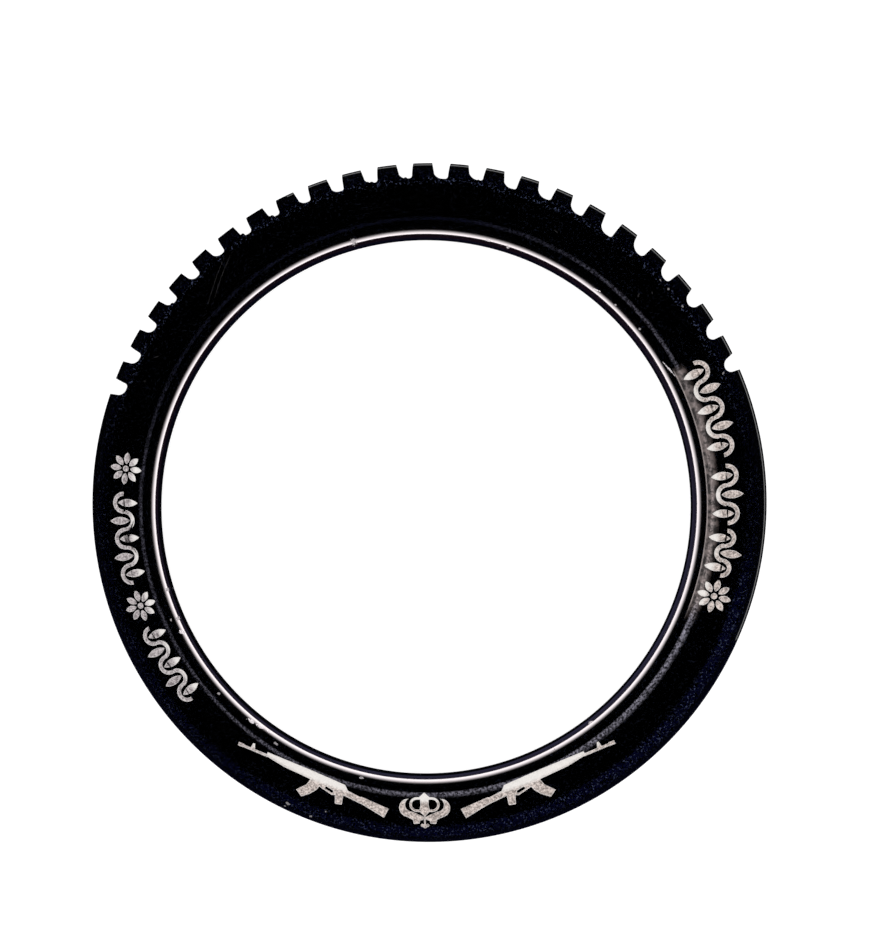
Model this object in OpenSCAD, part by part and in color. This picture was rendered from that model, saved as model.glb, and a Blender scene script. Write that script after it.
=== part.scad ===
// Kada: a closed steel bangle, lying flat on its side, with a notched rim and an engraved face.
// The ring's centre is on the Z axis, it rests on z = 0, and the notched arc is on the +Y side.
// Lengths are in millimetres. Angles are in degrees, counter-clockwise from +X seen from above.

/* [Ring] */
// Diameter of the hole for the wrist
wrist_hole_d = 65.6; // [60:0.1:72]
// Width of the band, from the hole to the rim
band_w = 8.57; // [8:0.01:10]
// Thickness of the ring along its axis
ring_t = 5; // [4.6:0.1:6]
// Radius of the two corners beside the hole, at most half the thickness
hole_edge_r = 2.1; // [1.6:0.1:2.2]

/* [Notches] */
// Number of notches filed in the rim
notch_count = 23; // [3:1:30]
// Mean angle between two neighbouring notches
notch_pitch = 6; // [5:0.1:8]
// Angle of the middle of the notched arc
notch_middle = 91.2; // [80:0.1:100]
// Mean depth of a notch below the rim
notch_depth = 2.4; // [1.8:0.05:2.8]
// Mean width of a notch at the rim
notch_w = 2.2; // [1.9:0.05:2.4]
// How much narrower a notch is at its floor
notch_taper = 0.5; // [0.2:0.05:0.6]
// How far the mouth of a notch lies counter-clockwise of its floor
notch_lean = 0.14; // [0:0.02:0.2]
// Share of the unevenness of hand filing, 0 for notches that are all alike
notch_unevenness = 1; // [0:0.1:1]

/* [Engraving] */
// Depth of the engraved marks below the surface
engrave_depth = 0.12; // [0.08:0.01:0.2]
// Angle of the emblem, opposite the notches
emblem_at = 271.5; // [265:0.1:275]
// Angle from the emblem to the middle of each rifle
rifle_from_emblem = 23.3; // [23:0.1:26]
// How far the border's middle line lies outside the middle of the flat face, below 0 towards the hole
border_out = -0.45; // [-0.5:0.05:0]
// Width of the border's winding stem
stem_w = 0.48; // [0.3:0.01:0.55]
// Length of a leaf of the border
leaf_l = 2.5; // [1.8:0.05:2.7]
// Width of a leaf of the border
leaf_w = 0.95; // [0.6:0.05:1]

/* [Hidden] */
$fn = 96;

hole_r = wrist_hole_d / 2;
rim_r = hole_r + band_w;
rim_edge_r = ring_t / 2;

// Flat part of the face, between the two rounded edges
face_in_r = hole_r + hole_edge_r;
face_out_r = rim_r - rim_edge_r;
face_mid_r = (face_in_r + face_out_r) / 2;

// Radius of each mark's line of reference: the border's middle line, the emblem's tip, and the
// top line of the rifles
border_r = face_mid_r + border_out;
emblem_tip_r = face_mid_r - 2.58;
rifle_top_r = face_mid_r - 2.43;

// How far a cutter reaches past the surface that it cuts
past = 0.5;

// Unevenness of each hand-filed notch, starting over where there are more notches than rows:
// the angle that it is turned by, what is added to its width and to its depth, and the radius of
// the clockwise corner of its floor. The other corner is as round as the floor is wide.
uneven_turn = 0;
uneven_w = 1;
uneven_depth = 2;
uneven_corner = 3;
uneven = [
    [-0.12, -0.02, -0.39, 0.7],
    [0.06, 0.07, -0.27, 0.6],
    [0.14, 0.06, -0.46, 0.7],
    [0.24, 0.04, -0.23, 0.4],
    [0.35, 0.23, -0.24, 0.45],
    [0.54, 0.2, 0.19, 0.25],
    [0.61, 0.17, -0.09, 0.3],
    [0.56, 0.17, -0.17, 0.3],
    [0.55, 0.01, -0.07, 0.25],
    [0.47, 0.08, -0.22, 0.25],
    [0.42, 0.09, 0.04, 0.3],
    [0.45, -0.04, -0.03, 0.3],
    [0.39, -0.03, 0.01, 0.3],
    [0.31, -0.13, 0.12, 0.25],
    [0.28, -0.17, 0.07, 0.3],
    [0.12, -0.21, -0.03, 0.3],
    [-0.08, -0.16, 0.11, 0.35],
    [-0.14, -0.15, 0.12, 0.3],
    [-0.31, -0.18, 0.14, 0.35],
    [-0.31, -0.07, 0.11, 0.4],
    [-0.38, -0.17, 0.03, 0.4],
    [-0.31, -0.04, 0.17, 0.35],
    [-0.28, -0.04, 0.18, 0.35],
];

// Each run of the border: the angle where it starts, the angle it spans, and its cells.
// A run of no cells is a rosette.
run_start = 0;
run_span = 1;
run_cells = 2;
border_runs = [
    [168.0, 5.8, 0],
    [175.8, 17.5, 5],
    [195.0, 6.1, 0],
    [202.8, 16.2, 5],
    [341.7, 5.7, 0],
    [348.5, 8.3, 3],
    [358.2, 10.4, 3],
    [370.6, 17.5, 5],
];

// Rosette: petals round a dot
petal_count = 8;
petal_from = 0.56;
petal_l = 1.42;
petal_w = 0.74;
dot_r = 0.36;

// Gap between a leaf and the stem that arches over it
leaf_gap = 0.14;

// Section of the band, with its surface moved inwards by inset
module band_section(inset) {
    edge_r = hole_edge_r - inset;
    translate([face_in_r, inset])
        square([face_out_r - face_in_r, ring_t - 2 * inset]);
    translate([face_out_r, ring_t / 2])
        circle(r = rim_edge_r - inset);
    translate([face_in_r, hole_edge_r])
        circle(r = edge_r);
    translate([face_in_r, ring_t - hole_edge_r])
        circle(r = edge_r);
    translate([face_in_r - edge_r, hole_edge_r])
        square([edge_r + rim_edge_r / 2, ring_t - 2 * hole_edge_r]);
}

module band(inset) {
    rotate_extrude($fn = 360)
        band_section(inset);
}

// Outline of a notch, lying along +X, its floor between two round corners. Each flank leans
// outwards, the one on the -Y side less.
module notch_outline(width, depth, corner) {
    floor_x = rim_r - depth;
    half = (width - notch_taper) / 2;
    low_r = min(corner, half);
    reach = (depth + past) / depth;
    low_end = -half - (notch_taper / 2 - notch_lean) * reach;
    high_end = half + (notch_taper / 2 + notch_lean) * reach;
    translate([floor_x + low_r, low_r - half])
        circle(r = low_r);
    translate([floor_x + half, 0])
        circle(r = half);
    polygon([
        [floor_x, low_r - half],
        [floor_x + low_r, -half],
        [rim_r + past, low_end],
        [rim_r + past, high_end],
        [floor_x + half, half],
        [floor_x, 0],
    ]);
}

module notches() {
    first = notch_middle - notch_pitch * (notch_count - 1) / 2;
    for (i = [0 : notch_count - 1]) {
        row = uneven[i % len(uneven)];
        turn = row[uneven_turn] * notch_unevenness;
        width = notch_w + row[uneven_w] * notch_unevenness;
        depth = notch_depth + row[uneven_depth] * notch_unevenness;
        rotate([0, 0, first + i * notch_pitch + turn])
            translate([0, 0, -past])
                linear_extrude(ring_t + 2 * past)
                    notch_outline(width, depth, row[uneven_corner]);
    }
}

// Puts a flat mark at an angle on the face. In the mark, +Y points away from the ring's centre,
// Y is the radius, and +X runs clockwise.
module on_face(angle) {
    rotate([0, 0, angle - 90])
        children();
}

// Pointed leaf along +Y from the origin, the space that two equal circles share
module leaf(l, w) {
    r = (l * l + w * w) / (4 * w);
    intersection() {
        translate([w / 2 - r, l / 2])
            circle(r = r);
        translate([r - w / 2, l / 2])
            circle(r = r);
    }
}

module rosette() {
    circle(r = dot_r, $fn = 32);
    for (i = [0 : petal_count - 1])
        rotate(i * 360 / petal_count)
            translate([0, petal_from])
                leaf(petal_l, petal_w);
}

// Half ring that bulges towards +Y
module arch(r, w) {
    difference() {
        circle(r = r + w / 2);
        circle(r = r - w / 2);
        translate([-2 * r, -4 * r])
            square([4 * r, 4 * r]);
    }
}

// One cell of the border: an arch of the stem with a leaf growing out of it
module border_cell(arch_r) {
    arch(arch_r, stem_w);
    translate([0, arch_r - stem_w / 2 - leaf_gap - leaf_l])
        leaf(leaf_l, leaf_w);
}

module border_run(run) {
    if (run[run_cells] == 0)
        on_face(run[run_start] + run[run_span] / 2)
            translate([0, border_r])
                rosette();
    else {
        step = run[run_span] / run[run_cells];
        arch_r = border_r * sin(step / 2);
        for (i = [0 : run[run_cells] - 1])
            on_face(run[run_start] + (i + 0.5) * step)
                translate([0, border_r])
                    rotate(i % 2 * 180)
                        border_cell(arch_r);
    }
}

// Double-edged sword in a ring between two curved swords. Y is measured from the sword's tip.
module emblem() {
    ring_y = 1.52;
    ring_half_gap = 0.94;
    ring_out_r = 0.94;
    ring_in_r = 0.63;
    grip_y = 2.8;
    grip_w = 0.22;
    grip_l = 1.3;
    pommel_y = 4.26;
    pommel_r = 0.27;
    ball_x = 0.34;
    ball_y = 4.16;
    ball_r = 0.19;
    translate([0, emblem_tip_r]) {
        // Straight blade
        polygon([
            [0, 0],
            [0.69, 0.62],
            [0.53, 0.95],
            [0.5, 1.6],
            [0.63, 2.15],
            [0.55, 2.5],
            [0, 3.05],
            [-0.55, 2.5],
            [-0.63, 2.15],
            [-0.5, 1.6],
            [-0.53, 0.95],
            [-0.69, 0.62],
        ]);
        // Ring behind the blade
        difference() {
            long_round(ring_half_gap, ring_out_r, ring_y);
            long_round(ring_half_gap, ring_in_r, ring_y);
        }
        // Curved swords
        curved_sword();
        mirror([1, 0])
            curved_sword();
        // Grip, and a pommel between two balls
        translate([-grip_w / 2, grip_y])
            square([grip_w, grip_l]);
        translate([0, pommel_y])
            circle(r = pommel_r, $fn = 32);
        for (side = [-1, 1])
            translate([side * ball_x, ball_y])
                circle(r = ball_r, $fn = 32);
    }
}

// Two circles of radius r, each side of the middle by half_gap, filled in between
module long_round(half_gap, r, y) {
    translate([-half_gap, y])
        circle(r = r);
    translate([half_gap, y])
        circle(r = r);
    translate([-half_gap, y - r])
        square([2 * half_gap, 2 * r]);
}

// Curved sword of the +X side: a crescent that runs out into a straight band, and its hilt
module curved_sword() {
    blade_at = [2, 1.94];
    blade_r = 1.17;
    hollow_at = [1.56, 1.56];
    hollow_r = 0.86;
    difference() {
        translate(blade_at)
            circle(r = blade_r);
        translate(hollow_at)
            circle(r = hollow_r);
        polygon([[0.3, 0.6], [1.75, 0.6], [1.56, 1.56], [1.62, 2.415], [0.45, 2.94]]);
    }
    polygon([
        [0.12, 3.1],
        [0.45, 2.92],
        [1.62, 2.4],
        [2.56, 2.95],
        [1.53, 3.43],
        [1.38, 3.98],
        [0.68, 3.93],
        [0.6, 3.58],
        [0.12, 3.4],
    ]);
}

// Rifle in side view, its muzzle towards +X. Y is measured from its top line.
module rifle() {
    barrel_at = [6.2, 0.3];
    barrel_size = [4, 0.34];
    muzzle_at = [9.5, 0.22];
    muzzle_size = [0.75, 0.46];
    guard_hole_at = [-2.5, 1.42];
    guard_hole_tilt = -10;
    guard_hole_half_gap = 0.4;
    guard_hole_r = 0.17;
    translate([0, rifle_top_r])
        difference() {
            union() {
                // Barrel and its thicker muzzle
                translate(barrel_at)
                    square(barrel_size);
                translate(muzzle_at)
                    square(muzzle_size);
                // Front sight
                polygon([[8.0, 0.4], [8.25, -0.35], [8.5, -0.35], [8.65, 0.4]]);
                // Hand guard under the gas tube
                polygon([[0.2, 0], [6.4, 0.02], [6.4, 0.56], [3.8, 0.97], [0.2, 1.1]]);
                // Receiver and trigger guard
                polygon([
                    [0.4, 0],
                    [-4.15, 0.06],
                    [-4.75, 0.64],
                    [-4.4, 1.4],
                    [-3.4, 1.78],
                    [-3.0, 1.92],
                    [-1.5, 1.62],
                    [0.4, 1.09],
                ]);
                // Grip
                polygon([[-3.3, 1.5], [-4.4, 1.3], [-4.65, 2.6], [-3.8, 2.82]]);
                // Stock
                polygon([
                    [-4.6, 0.6],
                    [-6.45, 0.76],
                    [-6.6, 0.66],
                    [-10.28, 0.73],
                    [-10.15, 2.03],
                    [-7.05, 1.55],
                    [-4.3, 1.4],
                ]);
                magazine();
            }
            // Opening in the trigger guard
            translate(guard_hole_at)
                rotate(guard_hole_tilt)
                    long_round(guard_hole_half_gap, guard_hole_r, 0);
        }
}

// Magazine, curving forwards
module magazine() {
    polygon([
        [0.1, 0.9],
        [0.4, 1.95],
        [1.38, 3.05],
        [0.45, 3.64],
        [-0.42, 2.9],
        [-1.02, 2.1],
        [-1.26, 1.4],
    ]);
}

module marks() {
    for (run = border_runs)
        border_run(run);
    on_face(emblem_at)
        emblem();
    on_face(emblem_at - rifle_from_emblem)
        rifle();
    on_face(emblem_at + rifle_from_emblem)
        mirror([1, 0])
            rifle();
}

// The marks are cut through a skin as thick as the engraving is deep, so their floors follow
// the rounded edges of the face.
module ring() {
    color([0.04, 0.04, 0.07])
        difference() {
            union() {
                difference() {
                    band(0);
                    translate([0, 0, ring_t / 2])
                        linear_extrude(ring_t)
                            marks();
                }
                band(engrave_depth);
            }
            notches();
        }
}

ring();
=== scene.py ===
"""Looks of the kada: a black coated steel bangle with a notched rim, lying flat on a pale floor.

Lengths are in metres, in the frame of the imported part: the ring's centre is on the Z axis, it rests
on z = 0, its engraved face looks up and its notched arc is on the +Y side.
"""

import math

import bmesh
import bpy
from mathutils import Matrix, Vector


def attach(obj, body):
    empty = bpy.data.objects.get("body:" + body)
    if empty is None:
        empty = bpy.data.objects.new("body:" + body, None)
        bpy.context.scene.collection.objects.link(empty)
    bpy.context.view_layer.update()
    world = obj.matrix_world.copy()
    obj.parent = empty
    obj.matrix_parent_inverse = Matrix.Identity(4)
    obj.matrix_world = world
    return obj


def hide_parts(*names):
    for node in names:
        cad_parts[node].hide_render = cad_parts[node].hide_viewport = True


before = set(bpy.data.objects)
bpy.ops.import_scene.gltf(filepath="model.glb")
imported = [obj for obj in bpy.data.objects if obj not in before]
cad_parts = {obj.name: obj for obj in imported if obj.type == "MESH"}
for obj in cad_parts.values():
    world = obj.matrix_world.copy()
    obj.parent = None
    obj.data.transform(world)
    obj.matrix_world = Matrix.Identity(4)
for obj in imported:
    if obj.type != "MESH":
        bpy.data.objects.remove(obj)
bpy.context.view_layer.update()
mm = 0.001

# Ring. Sizes are those of the part, less than a hundredth of a millimetre inside its box.
HOLE_R = 32.8 * mm
RIM_R = 41.36 * mm
RING_T = 4.998 * mm
RING_FOOT = 0.001 * mm
HOLE_EDGE_R = 2.1 * mm
RIM_EDGE_R = 2.4989 * mm
FACE_IN_R = HOLE_R + HOLE_EDGE_R
FACE_OUT_R = RIM_R - RIM_EDGE_R
FACE_TOP = RING_FOOT + RING_T
SPIN_STEPS = 360
EDGE_SEGMENTS = 14

# Notches filed across the rim by hand. Each row is one notch: what is added to its angle in degrees
# and to its width and depth in millimetres, and the radius of the clockwise corner of its floor.
NOTCH_PITCH = 6.0
NOTCH_MIDDLE = 91.2
NOTCH_DEPTH = 2.39
NOTCH_W = 2.2
NOTCH_TAPER = 0.5
NOTCH_LEAN = 0.14
NOTCHES = [
    (-0.12, -0.02, -0.39, 0.7),
    (0.06, 0.07, -0.27, 0.6),
    (0.14, 0.06, -0.46, 0.7),
    (0.24, 0.04, -0.23, 0.4),
    (0.35, 0.23, -0.24, 0.45),
    (0.54, 0.2, 0.19, 0.25),
    (0.61, 0.17, -0.09, 0.3),
    (0.56, 0.17, -0.17, 0.3),
    (0.55, 0.01, -0.07, 0.25),
    (0.47, 0.08, -0.22, 0.25),
    (0.42, 0.09, 0.04, 0.3),
    (0.45, -0.04, -0.03, 0.3),
    (0.39, -0.03, 0.01, 0.3),
    (0.31, -0.13, 0.12, 0.25),
    (0.28, -0.17, 0.07, 0.3),
    (0.12, -0.21, -0.03, 0.3),
    (-0.08, -0.16, 0.11, 0.35),
    (-0.14, -0.15, 0.12, 0.3),
    (-0.31, -0.18, 0.14, 0.35),
    (-0.31, -0.07, 0.11, 0.4),
    (-0.38, -0.17, 0.03, 0.4),
    (-0.31, -0.04, 0.17, 0.35),
    (-0.28, -0.04, 0.18, 0.35),
]

# Lumps of metal that the file left in the notches: angle in degrees, radius, and half sizes along
# the ring and across it in millimetres
BURRS = [
    (79.1, 39.14, 0.22, 0.18),
    (91.6, 39.04, 0.24, 0.2),
    (97.5, 39.0, 0.3, 0.2),
    (98.2, 39.1, 0.25, 0.18),
    (115.8, 39.12, 0.28, 0.3),
    (121.8, 39.12, 0.25, 0.3),
    (139.35, 39.02, 0.28, 0.2),
]

ENGRAVE_DEPTH = 0.12 * mm
# Width of the strip along the marks' edges that is painted paler, a painted highlight
MARK_EDGE_HIGHLIGHT_W = 0.07 * mm

# Mean radius of the flat face in millimetres
MEAN_R = 36.9

# Photograph: its size in pixels, and the camera fitted to it. The focal length and the place of the
# optical axis are in pixels, and the camera's place is in millimetres from the ring's middle, in axes
# turned with the camera.
PHOTO_W, PHOTO_H = 877, 940
FOCAL_LENGTH = 935.71
AXIS_RIGHT, AXIS_DOWN = 405.657, 590.675
CAMERA_TILT = (0.0941, -0.1031, 0.0)
CAMERA_PLACE = (-1.478, -9.4202, 115)

# Material slots of the ring
COAT, ETCHED, MARK_EDGE_HIGHLIGHT, FILED = range(4)


def aim_camera():
    """Camera of the photograph: nearly overhead, 112 mm above the ring's face."""
    tilt = Vector(CAMERA_TILT)
    turn = Matrix.Rotation(tilt.length, 3, tilt.normalized())
    data = bpy.data.cameras.new("camera")
    data.sensor_fit = "AUTO"
    data.sensor_width = 36.0
    data.lens = data.sensor_width * FOCAL_LENGTH / PHOTO_H
    data.shift_x = (PHOTO_W / 2 - AXIS_RIGHT) / PHOTO_H
    data.shift_y = (AXIS_DOWN - PHOTO_H / 2) / PHOTO_H
    data.clip_start = 0.005
    data.clip_end = 20
    camera = bpy.data.objects.new("camera", data)
    spot = turn.transposed() @ Vector([c * mm for c in CAMERA_PLACE])
    spot.z += 2.5 * mm
    camera.matrix_world = Matrix.Translation(spot) @ turn.transposed().to_4x4()
    bpy.context.scene.collection.objects.link(camera)
    bpy.context.scene.camera = camera


def new_piece(name, bm):
    """Object in the scene from a finished bmesh."""
    mesh = bpy.data.meshes.new(name)
    bm.to_mesh(mesh)
    bm.free()
    piece = bpy.data.objects.new(name, mesh)
    bpy.context.scene.collection.objects.link(piece)
    return piece


def plain_band():
    """The ring before its notches and marks: a rounded section, spun round the axis."""
    bm = bmesh.new()
    bmesh.ops.create_grid(bm, x_segments=1, y_segments=1, size=0.5)
    for v in bm.verts:
        across = HOLE_R + (v.co.x + 0.5) * (RIM_R - HOLE_R)
        v.co = Vector((across, 0, RING_FOOT + (v.co.y + 0.5) * RING_T))
    middle = (HOLE_R + RIM_R) / 2
    for at_hole, radius in ((True, HOLE_EDGE_R), (False, RIM_EDGE_R)):
        corners = [
            v for v in bm.verts
            if (v.co.x < middle) == at_hole and min(v.co.x - HOLE_R, RIM_R - v.co.x) < 0.01 * mm
        ]
        bmesh.ops.bevel(
            bm, geom=corners, offset=radius, offset_type="OFFSET", segments=EDGE_SEGMENTS,
            profile=0.5, affect="VERTICES", material=-1,
        )
    bmesh.ops.remove_doubles(bm, verts=bm.verts, dist=0.001 * mm)
    bmesh.ops.delete(bm, geom=bm.faces[:], context="FACES_ONLY")
    bmesh.ops.spin(
        bm, geom=bm.verts[:] + bm.edges[:], cent=(0, 0, 0), axis=(0, 0, 1), angle=2 * math.pi,
        steps=SPIN_STEPS, use_merge=True, use_duplicate=False,
    )
    bmesh.ops.remove_doubles(bm, verts=bm.verts, dist=0.001 * mm)
    bmesh.ops.recalc_face_normals(bm, faces=bm.faces)
    return new_piece("ring_dressed", bm)


def notch_cutters():
    """One cutter for each notch, with two round corners and flanks that lean outwards."""
    bm = bmesh.new()
    end_x = RIM_R + 3 * mm
    for i, (turn, more_w, more_depth, low_r) in enumerate(NOTCHES):
        others = set(bm.verts)
        depth = (NOTCH_DEPTH + more_depth) * mm
        floor_x = RIM_R - depth
        half = (NOTCH_W + more_w - NOTCH_TAPER) / 2 * mm
        reach = depth + 0.5 * mm
        low_slope = (NOTCH_TAPER / 2 - NOTCH_LEAN) * mm / depth * reach / (reach - low_r * mm)
        high_slope = (NOTCH_TAPER / 2 + NOTCH_LEAN) * mm / depth * reach / (reach - half)
        corners = bmesh.ops.create_cube(bm, size=1)["verts"]
        for v in corners:
            x = end_x if v.co.x > 0 else floor_x
            if v.co.y > 0:
                y = half + high_slope * (x - floor_x - half)
            else:
                y = -half - low_slope * (x - floor_x - low_r * mm)
            v.co = Vector((x, y, RING_T / 2 + math.copysign(2 * RING_T, v.co.z)))
        room = (2 - high_slope) * half - (1 + low_slope) * low_r * mm
        for high, radius in ((False, low_r * mm), (True, min(half, 0.98 * room))):
            edge = [
                e for e in bm.edges
                if all(v in corners and v.co.x < RIM_R and (v.co.y > 0) == high for v in e.verts)
                and abs(e.verts[0].co.z - e.verts[1].co.z) > RING_T
            ]
            bmesh.ops.bevel(
                bm, geom=edge, offset=radius, offset_type="OFFSET", segments=10,
                profile=0.5, affect="EDGES", material=-1, clamp_overlap=False,
            )
            corners = [v for v in bm.verts if v not in others]
        angle = NOTCH_MIDDLE + NOTCH_PITCH * (i - (len(NOTCHES) - 1) / 2) + turn
        turned = Matrix.Rotation(math.radians(angle), 3, "Z")
        bmesh.ops.rotate(bm, verts=corners, cent=(0, 0, 0), matrix=turned)
    bmesh.ops.recalc_face_normals(bm, faces=bm.faces)
    for f in bm.faces:
        f.material_index = FILED
    return new_piece("notch_cutters", bm)


def depth_below(co):
    """Depth of a point below the plain band's surface."""
    r = math.hypot(co.x, co.y)
    if r > FACE_OUT_R:
        return RIM_EDGE_R - math.hypot(r - FACE_OUT_R, co.z - FACE_TOP + RIM_EDGE_R)
    if r < FACE_IN_R:
        return HOLE_EDGE_R - math.hypot(r - FACE_IN_R, max(co.z - FACE_TOP + HOLE_EDGE_R, 0))
    return FACE_TOP - co.z


def mark_cutters():
    """The floors of the engraved marks, taken from a merged copy of the part and raised past the face.
    The side walls and a narrow strip of the floor beside them get the marks' edge look, a painted
    highlight."""
    bm = bmesh.new()
    bm.from_mesh(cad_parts["ring"].data)
    bmesh.ops.remove_doubles(bm, verts=bm.verts, dist=0.0005 * mm)
    off = 0.02 * mm
    floors = {
        f for f in bm.faces
        if f.normal.z > 0.3 and all(
            v.co.z > RING_T / 2 and abs(depth_below(v.co) - ENGRAVE_DEPTH) < off for v in f.verts
        )
    }
    bmesh.ops.delete(bm, geom=[f for f in bm.faces if f not in floors], context="FACES")
    bmesh.ops.dissolve_limit(bm, angle_limit=0.005, verts=bm.verts, edges=bm.edges)
    for f in bm.faces:
        f.material_index = ETCHED
    strip = bmesh.ops.inset_region(
        bm, faces=bm.faces, thickness=MARK_EDGE_HIGHLIGHT_W, use_boundary=True, use_even_offset=True,
    )
    for f in strip["faces"]:
        f.material_index = MARK_EDGE_HIGHLIGHT
    bmesh.ops.triangulate(bm, faces=bm.faces)
    raised = bmesh.ops.extrude_face_region(bm, geom=bm.faces[:])
    top = {v for v in raised["geom"] if isinstance(v, bmesh.types.BMVert)}
    for v in top:
        v.co.z = FACE_TOP + 1 * mm
    for f in bm.faces:
        if 0 < len(top.intersection(f.verts)) < len(f.verts):
            f.material_index = MARK_EDGE_HIGHLIGHT
    bmesh.ops.recalc_face_normals(bm, faces=bm.faces)
    return new_piece("mark_cutters", bm)


def cut(piece, cutter):
    """Takes the cutter's solid out of the piece. Cut faces keep the cutter's material slot."""
    step = piece.modifiers.new("cut", "BOOLEAN")
    step.object = cutter
    step.operation = "DIFFERENCE"
    step.solver = "EXACT"
    step.material_mode = "INDEX"
    graph = bpy.context.evaluated_depsgraph_get()
    mesh = bpy.data.meshes.new_from_object(piece.evaluated_get(graph), depsgraph=graph)
    piece.modifiers.clear()
    piece.data = mesh
    bpy.data.objects.remove(cutter)


def merge_cut_edges(piece):
    """Merges the vertices that the cuts left in one place, so that no face lies folded between them."""
    bm = bmesh.new()
    bm.from_mesh(piece.data)
    bmesh.ops.remove_doubles(bm, verts=bm.verts, dist=0.0001 * mm)
    bm.to_mesh(piece.data)
    bm.free()


def wall_normals(piece):
    """Smooth normals: exact ones on the turned surfaces, averaged ones inside notches and marks."""
    mesh = piece.data
    mesh.polygons.foreach_set("use_smooth", [True] * len(mesh.polygons))
    mesh.set_sharp_from_angle(angle=math.radians(28))
    normals = [c.vector.copy() for c in mesh.corner_normals]
    for face in mesh.polygons:
        for corner in face.loop_indices:
            turned = turned_normal(mesh.vertices[mesh.loops[corner].vertex_index].co)
            if turned.dot(face.normal) > 0.96:
                normals[corner] = turned
    mesh.normals_split_custom_set([tuple(n) for n in normals])


def turned_normal(co):
    """Normal that the spun section has nearest to a point."""
    r = math.hypot(co.x, co.y)
    if r > FACE_OUT_R:
        out, up = r - FACE_OUT_R, co.z - (RING_FOOT + RING_T / 2)
    elif r < FACE_IN_R:
        high, low = FACE_TOP - HOLE_EDGE_R, RING_FOOT + HOLE_EDGE_R
        out, up = r - FACE_IN_R, max(co.z - high, 0) + min(co.z - low, 0)
    else:
        out, up = 0, co.z - RING_T / 2
    return Vector((out * co.x / r, out * co.y / r, up)).normalized()


def add_burrs(piece):
    """Lumps that the file left at the top of the notch floors."""
    bm = bmesh.new()
    bm.from_mesh(piece.data)
    for angle, r, along, across in BURRS:
        size = Matrix.Diagonal((across * mm, along * mm, 0.3 * mm, 1))
        spot = Matrix.Translation((r * mm, 0, FACE_TOP - 0.32 * mm))
        turn = Matrix.Rotation(math.radians(angle), 4, "Z")
        lump = bmesh.ops.create_icosphere(bm, subdivisions=2, radius=1, matrix=turn @ spot @ size)
        for f in {f for v in lump["verts"] for f in v.link_faces}:
            f.material_index = FILED
    bm.to_mesh(piece.data)
    bm.free()


def ring():
    """The bangle: the plain band, notched and engraved, with a look for each kind of surface."""
    piece = plain_band()
    cutters = [notch_cutters(), mark_cutters()]
    # The third look is etched steel painted paler for the marks' edges, a painted highlight
    looks = [
        coated_steel(), etched_steel("etched_steel", 0), etched_steel("etched_edge_highlight", 0.6), filed_steel(),
    ]
    for each in [piece, *cutters]:
        for look in looks:
            each.data.materials.append(look)
    for cutter in cutters:
        cut(piece, cutter)
    merge_cut_edges(piece)
    add_burrs(piece)
    wall_normals(piece)
    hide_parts("ring")
    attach(piece, "root")
    return piece


def put(tree, kind, inputs=None, **settings):
    """Adds a node. A socket given as an input is linked, anything else is set as its value."""
    made = tree.nodes.new(kind)
    for name, value in settings.items():
        setattr(made, name, value)
    for key, value in (inputs or {}).items():
        if isinstance(value, bpy.types.NodeSocket):
            tree.links.new(value, made.inputs[key])
        else:
            made.inputs[key].default_value = value
    return made


def calc(tree, operation, *values):
    return put(tree, "ShaderNodeMath", dict(enumerate(values)), operation=operation).outputs[0]


def ramp(tree, value, low, high):
    """Smooth step of a value: 0 at low and 1 at high."""
    made = put(
        tree, "ShaderNodeMapRange", {"Value": value, "From Min": low, "From Max": high},
        interpolation_type="SMOOTHSTEP",
    )
    return made.outputs["Result"]


def stretch(tree, value, low, high, to_low, to_high):
    """Straight line from to_low, where the value is low, to to_high, where it is high."""
    made = put(
        tree, "ShaderNodeMapRange",
        {"Value": value, "From Min": low, "From Max": high, "To Min": to_low, "To Max": to_high},
    )
    return made.outputs["Result"]


def times_plus(tree, value, factor, added):
    """The value times the factor, plus what is added."""
    return calc(tree, "MULTIPLY_ADD", value, factor, added)


def vector_calc(tree, operation, *values):
    """Outputs of a vector sum: the vector is number 0, and a length or dot product is Value."""
    return put(tree, "ShaderNodeVectorMath", dict(enumerate(values)), operation=operation).outputs


def hump(tree, value, start, top_start, top_end, end):
    """1 between top_start and top_end, falling to 0 at start and end."""
    return calc(tree, "MULTIPLY", ramp(tree, value, start, top_start), ramp(tree, value, end, top_end))


def blend(tree, amount, a, b):
    """Colour a where the amount is 0 and colour b where it is 1."""
    made = put(tree, "ShaderNodeMix", {"Factor": amount}, data_type="RGBA")
    for key, value in ((6, a), (7, b)):
        if isinstance(value, bpy.types.NodeSocket):
            tree.links.new(value, made.inputs[key])
        else:
            made.inputs[key].default_value = value
    return made.outputs[2]


def group(name, inputs, outputs):
    """Empty node group with named float or vector sockets, and its input and output nodes."""
    tree = bpy.data.node_groups.new(name, "ShaderNodeTree")
    for label, kind in inputs:
        tree.interface.new_socket(label, in_out="INPUT", socket_type=kind)
    for label, kind in outputs:
        tree.interface.new_socket(label, in_out="OUTPUT", socket_type=kind)
    return tree, tree.nodes.new("NodeGroupInput"), tree.nodes.new("NodeGroupOutput")


def place(tree, which, **values):
    """Puts a node group into a tree. An underscore in a socket's name stands for a space."""
    made = tree.nodes.new("ShaderNodeGroup")
    made.node_tree = which
    for key, value in values.items():
        key = key.replace("_", " ")
        if isinstance(value, bpy.types.NodeSocket):
            tree.links.new(value, made.inputs[key])
        else:
            made.inputs[key].default_value = value
    return made


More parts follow.
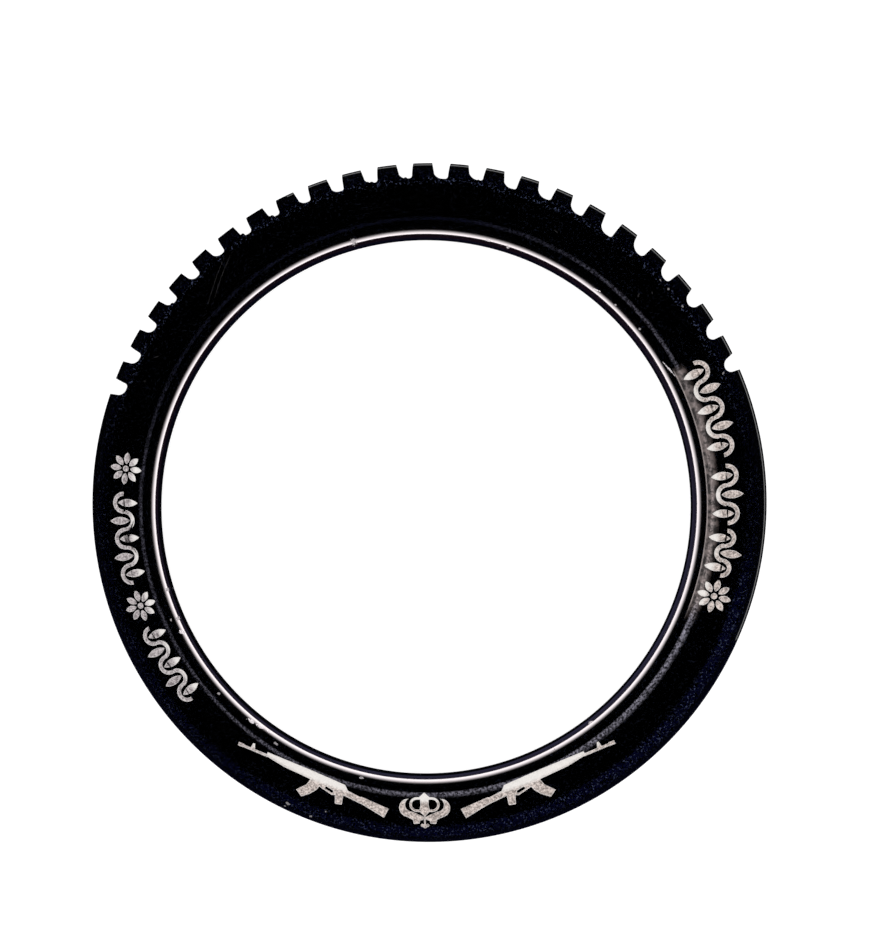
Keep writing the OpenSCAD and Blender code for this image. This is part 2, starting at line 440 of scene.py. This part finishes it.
def ring_place_group():
    """Where a point is on the ring: radius in millimetres from an axis that may be shifted sideways,
    angle in degrees, and both unrolled into a flat strip in millimetres."""
    tree, given, out = group(
        "place on the ring", [("Shift", "NodeSocketVector")],
        [("Radius", "NodeSocketFloat"), ("Angle", "NodeSocketFloat"), ("Unrolled", "NodeSocketVector")],
    )
    spot = put(tree, "ShaderNodeTexCoord").outputs["Object"]
    shifted = vector_calc(tree, "SUBTRACT", spot, given.outputs["Shift"])[0]
    flat = vector_calc(tree, "MULTIPLY", shifted, (1000, 1000, 0))[0]
    radius = vector_calc(tree, "LENGTH", flat)["Value"]
    xyz = put(tree, "ShaderNodeSeparateXYZ", {0: spot})
    turn = calc(tree, "DEGREES", calc(tree, "ARCTAN2", xyz.outputs[1], xyz.outputs[0]))
    angle = calc(tree, "FLOORED_MODULO", turn, 360)
    along = calc(tree, "MULTIPLY", angle, math.radians(MEAN_R))
    strip = put(tree, "ShaderNodeCombineXYZ", {0: along, 1: radius})
    tree.links.new(radius, out.inputs["Radius"])
    tree.links.new(angle, out.inputs["Angle"])
    tree.links.new(strip.outputs[0], out.inputs["Unrolled"])
    return tree


def grain_group():
    """Fine grain of one size in millimetres, cut to a mask between two levels."""
    tree, given, out = group(
        "grain",
        [
            ("Size", "NodeSocketFloat"), ("Low", "NodeSocketFloat"), ("High", "NodeSocketFloat"),
            ("Seed", "NodeSocketFloat"),
        ],
        [("Mask", "NodeSocketFloat"), ("Value", "NodeSocketFloat")],
    )
    spot = put(tree, "ShaderNodeTexCoord").outputs["Object"]
    density = calc(tree, "DIVIDE", 1000, given.outputs["Size"])
    noise = put(
        tree, "ShaderNodeTexNoise",
        {
            "Vector": spot, "W": given.outputs["Seed"], "Scale": density, "Detail": 2.0,
            "Roughness": 0.6,
        },
        noise_dimensions="4D",
    )
    value = noise.outputs[0]
    mask = ramp(tree, value, given.outputs["Low"], given.outputs["High"])
    tree.links.new(mask, out.inputs["Mask"])
    tree.links.new(value, out.inputs["Value"])
    return tree


def chip_group():
    """Distance from the middle of a chip or scratch on the unrolled ring, 1 on its outline."""
    tree, given, out = group(
        "chip",
        [
            ("Spot", "NodeSocketVector"), ("Middle", "NodeSocketVector"), ("Turn", "NodeSocketVector"),
            ("Half Size", "NodeSocketVector"),
        ],
        [("Distance", "NodeSocketFloat")],
    )
    get = given.outputs
    own = put(
        tree, "ShaderNodeMapping",
        {
            "Vector": get["Spot"], "Location": get["Middle"], "Rotation": get["Turn"],
            "Scale": get["Half Size"],
        },
        vector_type="TEXTURE",
    )
    length = vector_calc(tree, "LENGTH", own.outputs[0])["Value"]
    tree.links.new(length, out.inputs["Distance"])
    return tree


def material(name):
    """New material, its node tree and its shader."""
    made = bpy.data.materials.new(name)
    made.use_nodes = True
    tree = made.node_tree
    return made, tree, tree.nodes["Principled BSDF"]


# Chips that show the steel, duller chips and specks, and faint scratches. Each row holds the angle in
# degrees, the radius, the half length and the half width in millimetres, and the degrees by which the
# length slants outwards.
CHIPS = [
    (29.5, 33.83, 0.95, 0.07, -10),
    (50.8, 33.38, 0.5, 0.06, -12),
    (75.1, 33.1, 0.2, 0.1, 0),
    (206.3, 33.17, 0.32, 0.17, -20),
    (230.9, 33.32, 0.55, 0.15, -6),
    (233.4, 33.2, 0.55, 0.13, -8),
    (235.3, 33.1, 0.3, 0.1, -8),
]
DULL_CHIPS = [
    (102.9, 33.14, 0.42, 0.26, 0),
    (258.0, 33.5, 0.34, 0.11, -5),
    (39.2, 33.65, 0.14, 0.1, 0),
    (46.0, 33.5, 0.14, 0.1, 0),
    (70.8, 33.0, 0.2, 0.1, 0),
    (196.5, 32.98, 0.25, 0.14, 0),
    (202.9, 33.6, 0.16, 0.1, 0),
    (203.3, 32.98, 0.25, 0.12, 0),
    (221.9, 33.58, 0.18, 0.12, 0),
    (238.3, 33.68, 0.28, 0.12, 0),
    (300.3, 33.27, 0.3, 0.08, 0),
    (309.8, 33.0, 0.3, 0.08, 0),
    (245.7, 39.72, 0.26, 0.22, 0),
    (245.4, 40.3, 0.14, 0.12, 0),
    (250.4, 40.2, 0.2, 0.17, 0),
    (252.8, 38.8, 0.12, 0.1, 0),
    (24.3, 38.95, 0.2, 0.07, 60),
    (37.5, 38.8, 0.14, 0.1, 20),
    (41.3, 38.8, 0.12, 0.12, 0),
    (43.3, 38.8, 0.12, 0.08, 0),
]
SCRATCHES = [
    (42.7, 37.2, 0.2, 0.06, 30),
    (44.1, 35.9, 0.25, 0.06, 60),
    (63.2, 36.3, 0.25, 0.05, 20),
    (129.0, 36.9, 3.2, 0.035, -28),
    (130.0, 37.2, 3.0, 0.03, -28),
    (148.7, 37.0, 0.3, 0.06, 40),
    (153.8, 37.0, 0.2, 0.05, -30),
]

# Brightness of the painted highlight line beside the hole, by angle in degrees, as the light falls round
# the ring
PAINTED_HIGHLIGHT_LEVELS = [
    (0, 0.155), (30, 0.06), (60, 0.018), (80, 0.001), (110, 0.001), (150, 0.004), (180, 0.032),
    (210, 0.036), (270, 0.1), (315, 0.155), (345, 0.17), (360, 0.155),
]


def chips(tree, spot, table, ragged):
    """Mask of all the chips of a table, with ragged outlines."""
    nearest = None
    for angle, radius, half_l, half_w, slant in table:
        one = place(
            tree, GROUPS["chip"], Spot=spot, Middle=(math.radians(angle) * MEAN_R, radius, 0),
            Turn=(0, 0, math.radians(slant)), Half_Size=(half_l * MEAN_R / radius, half_w, 1),
        )
        away = one.outputs["Distance"]
        nearest = away if nearest is None else calc(tree, "MINIMUM", nearest, away)
    return ramp(tree, times_plus(tree, ragged, 2.4, nearest), 2.3, 2.0)


def painted_highlight_line(tree, colour, highlight_tint, angle, grain):
    """Grainy painted highlight where the flat face turns down towards the hole, on a circle beside the
    axis.
    It is a dim painted blue sheen all round, and a painted highlight of the given colour where more light
    falls."""
    shifted = place(tree, GROUPS["place"], Shift=(0.000207, -0.000036, 0)).outputs["Radius"]
    inner = ramp(tree, shifted, 34.22, 34.44)
    width = times_plus(tree, hump(tree, angle, 225, 295, 340, 361), 0.36, 0.32)
    outer = ramp(tree, calc(tree, "DIVIDE", calc(tree, "SUBTRACT", shifted, 34.5), width), 1, 0)
    line = calc(tree, "MULTIPLY", inner, outer)
    line = calc(tree, "MULTIPLY", line, stretch(tree, grain, 0.42, 0.66, 0.15, 2.1))
    level = put(tree, "ShaderNodeValToRGB", {0: calc(tree, "DIVIDE", angle, 360)})
    stops = level.color_ramp.elements
    while len(stops) < len(PAINTED_HIGHLIGHT_LEVELS):
        stops.new(0.5)
    for stop, (turn, value) in zip(stops, PAINTED_HIGHLIGHT_LEVELS):
        stop.position = turn / 360
        stop.color = (value, value, value, 1)
    # Painted blue sheen all round, then the painted highlight by angle on top of it
    colour = blend(tree, calc(tree, "MULTIPLY", line, 0.5), colour, (0.003, 0.004, 0.014, 1))
    return blend(tree, calc(tree, "MULTIPLY", line, level.outputs[0]), colour, highlight_tint)


def roughen(tree, shader, grain, strength, depth):
    """Fine unevenness of the surface."""
    bump = put(
        tree, "ShaderNodeBump",
        {"Strength": strength, "Distance": depth, "Height": grain.outputs["Value"]},
    )
    tree.links.new(bump.outputs[0], shader.inputs["Normal"])


def coated_steel():
    """Glossy black coating, with a painted navy reflection on the outer rounding, a painted highlight
    line beside the hole, a painted warm sheen and chips.
    """
    made, tree, shader = material("coated_steel")
    at = place(tree, GROUPS["place"])
    radius, angle = at.outputs["Radius"], at.outputs["Angle"]
    fine = place(tree, GROUPS["grain"], Size=0.26, Low=0.48, High=0.66, Seed=1.0)
    sparse = place(tree, GROUPS["grain"], Size=0.26, Low=0.57, High=0.65, Seed=7.0)
    coarse = place(tree, GROUPS["grain"], Size=0.8, Low=0.4, High=0.62, Seed=4.0)
    # Grainy painted navy reflection on the outer rounding, stronger on the lower half and fading towards
    # the notched arc
    lower_half_sheen = hump(tree, angle, 170, 300, 342, 358)
    patchy = times_plus(tree, coarse.outputs["Mask"], 0.5, 0.1)
    patchy = times_plus(tree, fine.outputs["Mask"], 1.3, patchy)
    rounding = hump(tree, radius, 38.3, 39.1, 39.5, 40.5)
    navy = calc(tree, "MULTIPLY", rounding, times_plus(tree, lower_half_sheen, 0.8, 0.2))
    painted_navy_sheen = calc(tree, "MULTIPLY", navy, patchy)
    colour = blend(tree, painted_navy_sheen, (0.0001, 0.0001, 0.0002, 1), (0.0008, 0.0012, 0.013, 1))
    # Pale specks, most of them in the painted navy reflection, where they are painted glints, and at the
    # floors of the notches
    floors, arc = hump(tree, radius, 38.2, 38.5, 38.9, 39.3), hump(tree, angle, 15, 25, 155, 165)
    speck_and_glint_area = calc(tree, "MAXIMUM", navy, calc(tree, "MULTIPLY", floors, arc))
    specks = calc(tree, "MULTIPLY", sparse.outputs["Mask"], times_plus(tree, speck_and_glint_area, 0.9, 0.1))
    colour = blend(tree, specks, colour, (0.03, 0.038, 0.075, 1))
    # Painted highlight line beside the hole, with a warmer painted tint on the +X side
    side = calc(tree, "MAXIMUM", ramp(tree, angle, 338, 344), ramp(tree, angle, 29.5, 27.5))
    highlight_tint = blend(tree, side, (0.87, 0.83, 1, 1), (0.95, 0.78, 0.74, 1))
    colour = painted_highlight_line(tree, colour, highlight_tint, angle, fine.outputs["Value"])
    # Painted warm sheen under the border on the +X side, with a sharp painted highlight at its lower edge
    warm_sheen_area = calc(tree, "MULTIPLY", hump(tree, radius, 34.08, 34.14, 34.9, 35.6), side)
    painted_warm_sheen = calc(tree, "MULTIPLY", warm_sheen_area, times_plus(tree, coarse.outputs["Mask"], 0.13, 0.03))
    colour = blend(tree, painted_warm_sheen, colour, (1, 0.77, 0.73, 1))
    painted_lip_highlight = calc(tree, "MULTIPLY", hump(tree, radius, 34.06, 34.11, 34.16, 34.24), side)
    colour = blend(tree, calc(tree, "MULTIPLY", painted_lip_highlight, 0.25), colour, (0.9, 0.78, 0.76, 1))
    # Chips
    ragged = place(tree, GROUPS["grain"], Size=0.3, Low=0.4, High=0.6, Seed=8.0).outputs["Value"]
    scratched, chipped, bare = [
        chips(tree, at.outputs["Unrolled"], table, ragged) for table in (SCRATCHES, DULL_CHIPS, CHIPS)
    ]
    for mask, shows in ((scratched, 0.03), (chipped, 0.25), (bare, 0.7)):
        colour = blend(tree, calc(tree, "MULTIPLY", mask, shows), colour, (0.75, 0.7, 0.73, 1))
    tree.links.new(colour, shader.inputs["Base Color"])
    shader.inputs["IOR"].default_value = 1.9
    polish = stretch(tree, coarse.outputs["Value"], 0.3, 0.7, 0.06, 0.13)
    damage = calc(tree, "MAXIMUM", chipped, bare)
    dull = calc(tree, "MAXIMUM", calc(tree, "MULTIPLY", warm_sheen_area, 0.4), calc(tree, "MULTIPLY", damage, 0.6))
    tree.links.new(calc(tree, "MAXIMUM", polish, dull), shader.inputs["Roughness"])
    roughen(tree, shader, fine, strength=0.25, depth=0.01 * mm)
    return made


def etched_steel(name, highlight_share):
    """Matt warm grey grainy steel of the marks, with a painted highlight, nearly white, towards the hole.
    The second argument is the share of a plain pale grey in it, a painted highlight on the marks' edges."""
    made, tree, shader = material(name)
    at = place(tree, GROUPS["place"])
    radius, angle = at.outputs["Radius"], at.outputs["Angle"]
    fine = place(tree, GROUPS["grain"], Size=0.2, Low=0.4, High=0.6, Seed=2.0)
    coarse = place(tree, GROUPS["grain"], Size=0.5, Low=0.3, High=0.7, Seed=3.0)
    cool = hump(tree, angle, 140, 175, 215, 250)
    dark = blend(tree, cool, (0.2, 0.165, 0.15, 1), (0.17, 0.145, 0.15, 1))
    light = blend(tree, cool, (0.84, 0.73, 0.68, 1), (0.7, 0.64, 0.65, 1))
    grain = calc(tree, "MULTIPLY", fine.outputs["Mask"], 0.65)
    grain = times_plus(tree, coarse.outputs["Mask"], 0.35, grain)
    colour = blend(tree, grain, dark, light)
    # Painted highlight where the marks run over the rounding towards the hole
    painted_highlight_by_hole = calc(tree, "MULTIPLY", ramp(tree, radius, 35.9, 35.2), 0.85)
    colour = blend(tree, painted_highlight_by_hole, colour, (0.9, 0.87, 0.84, 1))
    # Painted highlight on the marks' edges: a share of plain pale grey
    if highlight_share:
        colour = blend(tree, highlight_share, colour, (0.9, 0.88, 0.87, 1))
    tree.links.new(colour, shader.inputs["Base Color"])
    shader.inputs["Metallic"].default_value = 0.1
    shader.inputs["Roughness"].default_value = 0.55
    roughen(tree, shader, fine, strength=0.6, depth=0.03 * mm)
    return made


def filed_steel():
    """Coating on the filed walls of the notches: black with blue grey specks, and paler at the foot."""
    made, tree, shader = material("filed_steel")
    grain = place(tree, GROUPS["grain"], Size=0.35, Low=0.5, High=0.64, Seed=5.0)
    spot = put(tree, "ShaderNodeTexCoord").outputs["Object"]
    height = put(tree, "ShaderNodeSeparateXYZ", {0: spot}).outputs[2]
    foot = hump(tree, height, 0.1 * mm, 0.5 * mm, 1.1 * mm, 1.6 * mm)
    specks = times_plus(tree, foot, 0.8, calc(tree, "MULTIPLY", grain.outputs["Mask"], 0.4))
    colour = blend(tree, specks, (0.001, 0.001, 0.002, 1), (0.12, 0.125, 0.16, 1))
    tree.links.new(colour, shader.inputs["Base Color"])
    shader.inputs["Roughness"].default_value = 0.35
    return made


def pale_floor():
    """Matt floor that glows a little, so that it shows white. The ring's gloss doesn't see it."""
    bm = bmesh.new()
    bmesh.ops.create_grid(bm, x_segments=1, y_segments=1, size=1.5)
    floor = new_piece("floor", bm)
    made, tree, shader = material("pale_floor")
    shader.inputs["Base Color"].default_value = (0.35, 0.35, 0.35, 1)
    shader.inputs["Roughness"].default_value = 1.0
    shader.inputs["Emission Color"].default_value = (1, 1, 1, 1)
    shader.inputs["Emission Strength"].default_value = 0.82
    floor.data.materials.append(made)
    floor.visible_glossy = False


def glow_card(name, bm, strength):
    """A glowing surface that only the ring's gloss sees."""
    card = new_piece(name, bm)
    made = bpy.data.materials.new(name)
    made.use_nodes = True
    tree = made.node_tree
    tree.nodes.clear()
    light = put(tree, "ShaderNodeEmission", {"Color": (1, 1, 1, 1), "Strength": strength})
    out = put(tree, "ShaderNodeOutputMaterial")
    tree.links.new(light.outputs[0], out.inputs["Surface"])
    card.data.materials.append(made)
    card.visible_camera = False
    card.visible_diffuse = False
    card.visible_shadow = False
    return tree, light


def glow_tube():
    """White band round a tube in the hole. It slants and fades upwards. Below it the tube is dim, purple
    on one side of the hole and blue on the other."""
    bm = bmesh.new()
    bmesh.ops.create_cone(
        bm, cap_ends=False, segments=180, radius1=24 * mm, radius2=24 * mm, depth=26 * mm,
    )
    bmesh.ops.translate(bm, verts=bm.verts, vec=(0, 0, -3 * mm))
    tree, light = glow_card("glow_tube", bm, 10.5)
    spot = put(tree, "ShaderNodeTexCoord").outputs["Object"]

    def height_over(slant_x, slant_y, middle):
        """Height in millimetres over a slanting plane."""
        upright = (-slant_x / mm, -slant_y / mm, 1 / mm)
        turned = vector_calc(tree, "DOT_PRODUCT", spot, upright)["Value"]
        return calc(tree, "SUBTRACT", turned, middle)

    fade = ramp(tree, height_over(0.056, -0.017, 4.07), 2.9, -2.8)
    above = ramp(tree, height_over(0.0683, 0, 0.25), -0.3, 0.3)
    side = vector_calc(tree, "DOT_PRODUCT", spot, (14.3, -39.2, 0))["Value"]
    purple, blue = (0.0035, 0.0016, 0.0032, 1), (0.0115, 0.0108, 0.0215, 1)
    dim = blend(tree, ramp(tree, side, -0.7, 0.9), purple, blue)
    band = blend(tree, fade, (0, 0, 0, 1), (1, 0.91, 0.93, 1))
    tree.links.new(blend(tree, above, dim, band), light.inputs["Color"])


def outer_strip():
    """Dim strip round the notched side, for the thin line on the rim's edge."""
    bm = bmesh.new()
    ends = [bm.verts.new((r * mm, 0, 0.1 * mm)) for r in (47, 50.5)]
    bm.edges.new(ends)
    start = Matrix.Rotation(math.radians(-22), 3, "Z")
    bmesh.ops.rotate(bm, verts=bm.verts, cent=(0, 0, 0), matrix=start)
    bmesh.ops.spin(
        bm, geom=bm.verts[:] + bm.edges[:], cent=(0, 0, 0), axis=(0, 0, 1), angle=math.radians(135),
        steps=60,
    )
    glow_card("outer_strip", bm, 0.85)


def studio():
    """Floor, glowing surfaces, and a world that is pale except to the gloss, which sees it near black."""
    pale_floor()
    glow_tube()
    outer_strip()
    world = bpy.data.worlds.new("studio")
    world.use_nodes = True
    tree = world.node_tree
    back = tree.nodes["Background"]
    ray = put(tree, "ShaderNodeLightPath")
    way = put(tree, "ShaderNodeSeparateXYZ", {0: put(tree, "ShaderNodeTexCoord").outputs["Generated"]})
    black, navy = (0.003, 0.003, 0.005, 1), (0.006, 0.0065, 0.022, 1)
    low = blend(tree, ramp(tree, way.outputs[1], 0.1, -0.35), black, navy)
    dim = blend(tree, ramp(tree, way.outputs[2], -0.05, 0.05), low, (0.005, 0.005, 0.007, 1))
    dim = blend(tree, ramp(tree, way.outputs[2], 0.2, 0.7), dim, (0, 0, 0, 1))
    colour = blend(tree, ray.outputs["Is Glossy Ray"], (1.15, 1.15, 1.15, 1), dim)
    colour = blend(tree, ray.outputs["Is Camera Ray"], colour, (0.93, 0.93, 0.93, 1))
    tree.links.new(colour, back.inputs["Color"])
    # Sampled as a lamp, the pale world would reach the gloss after all
    world.cycles.sampling_method = "NONE"
    bpy.context.scene.world = world
    bpy.context.scene.view_settings.view_transform = "Standard"


GROUPS = {"place": ring_place_group(), "grain": grain_group(), "chip": chip_group()}
aim_camera()
ring()
studio()
